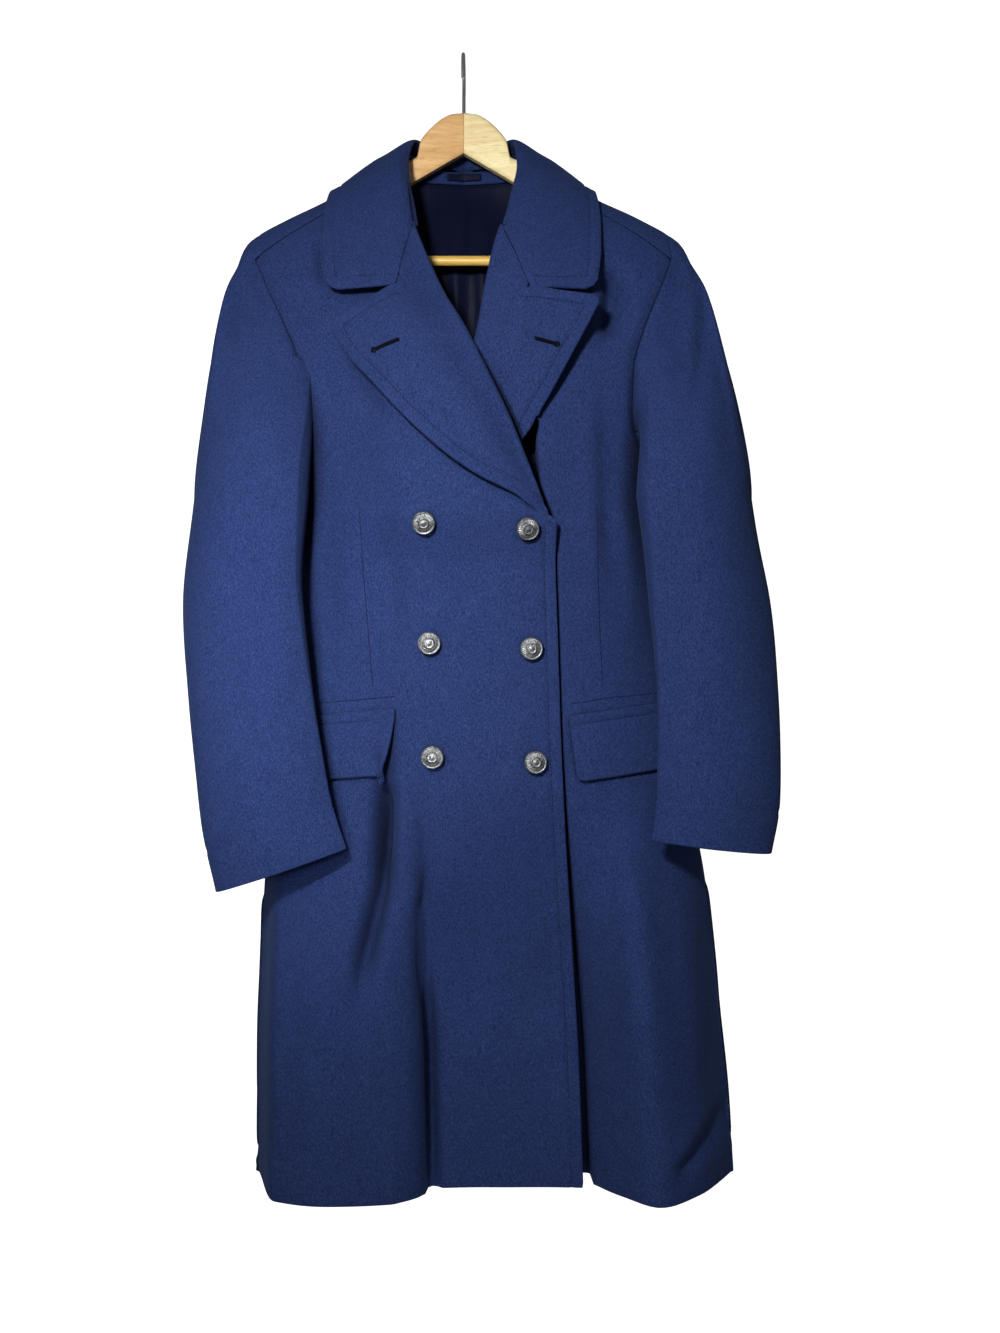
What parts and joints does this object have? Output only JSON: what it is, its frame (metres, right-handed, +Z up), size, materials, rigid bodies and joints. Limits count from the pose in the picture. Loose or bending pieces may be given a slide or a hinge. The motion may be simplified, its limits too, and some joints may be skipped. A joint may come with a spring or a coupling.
{
  "type": "double-breasted overcoat on a hanger",
  "caption": "Double-breasted wool overcoat with notched collar, wide lapels, flap pockets and metal buttons, hung buttoned on a contoured wooden hanger.",
  "frame": {"origin": "inside of the hook's crown, where a rail carries the hanger", "axes": "+Z up, -Y out of the coat's front, +X towards the wearer's left"},
  "size_m": [0.602, 0.2053, 1.1618],
  "materials": {
    "wool": "matt navy melton wool with a short nap",
    "satin": "smooth dark navy satin",
    "pewter": "aged pewter with a soft shine",
    "beech": "light varnished wood",
    "steel": "bright steel wire"
  },
  "bodies": {
    "root": {"front_right": "wool", "front_left": "wool", "back_right": "wool", "back_left": "wool", "sleeve_right_top": "wool", "sleeve_right_under": "wool", "sleeve_left_top": "wool", "sleeve_left_under": "wool", "lapel_right": "wool", "lapel_left": "wool", "collar": "wool", "neck_facing": "wool", "flap_right": "wool", "flap_left": "wool", "loop": "satin", "lining_back": "satin", "button_1": "pewter", "button_2": "pewter", "button_3": "pewter", "button_4": "pewter", "button_5": "pewter", "button_6": "pewter", "hanger_arm_right": "beech", "hanger_arm_left": "beech", "hanger_bar": "beech", "hanger_hook": "steel"}
  },
  "joints": []
}
